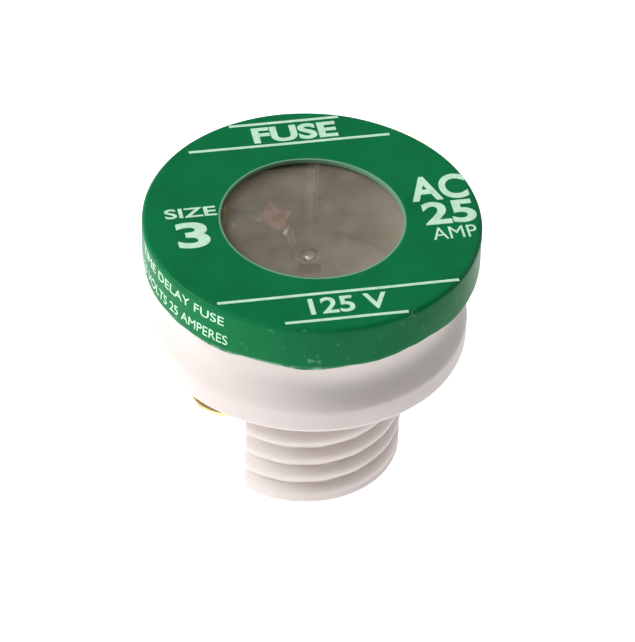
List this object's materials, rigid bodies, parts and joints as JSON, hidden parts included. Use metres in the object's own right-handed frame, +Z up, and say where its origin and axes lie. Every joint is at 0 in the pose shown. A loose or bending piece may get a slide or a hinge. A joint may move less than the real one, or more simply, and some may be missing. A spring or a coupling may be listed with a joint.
{
  "type": "plug fuse",
  "caption": "Screw-in plug fuse with a painted metal cap, a round window, a flanged porcelain body with a threaded shank, and a springy brass side contact.",
  "frame": {"origin": "middle of the centre contact's flat underside, on the fuse's axis", "axes": "+Z up the fuse's axis to the cap, -Y the front, +X right when seen from the front; the shank's flat faces -X"},
  "size_m": [0.03, 0.03, 0.0274],
  "materials": {
    "cap_paint": "gloss green enamel on pressed steel, white print",
    "mica": "clear, slightly smoky sheet",
    "fibre": "matt grey-brown vulcanised fibre",
    "porcelain": "smooth off-white, half matt",
    "brass": "pressed strip, slightly dulled",
    "zinc": "dull zinc strip",
    "copper": "dull copper, oxidised",
    "solder": "soft bright solder"
  },
  "bodies": {
    "fuse": {"cap": "cap_paint", "window": "mica", "window_gasket": "fibre", "body": "porcelain", "liner_sleeve": "fibre", "floor_disc": "fibre", "side_contact_strip": "brass", "centre_contact": "brass", "centre_rivet": "brass", "centre_lug": "brass", "fuse_link": "zinc", "link_load": "copper", "side_solder": "solder", "centre_solder": "solder"},
    "side_contact": {"side_contact_leaf": "brass"}
  },
  "joints": [
    {"name": "side_contact_flex", "type": "hinge", "parent": "fuse", "child": "side_contact", "pos_m": [-0.01065, 0.00363, 0.0142], "axis": [-0.9466, 0.3225, 0], "range_deg": [0, 4], "stiffness_Nm_per_rad": 0.3}
  ]
}
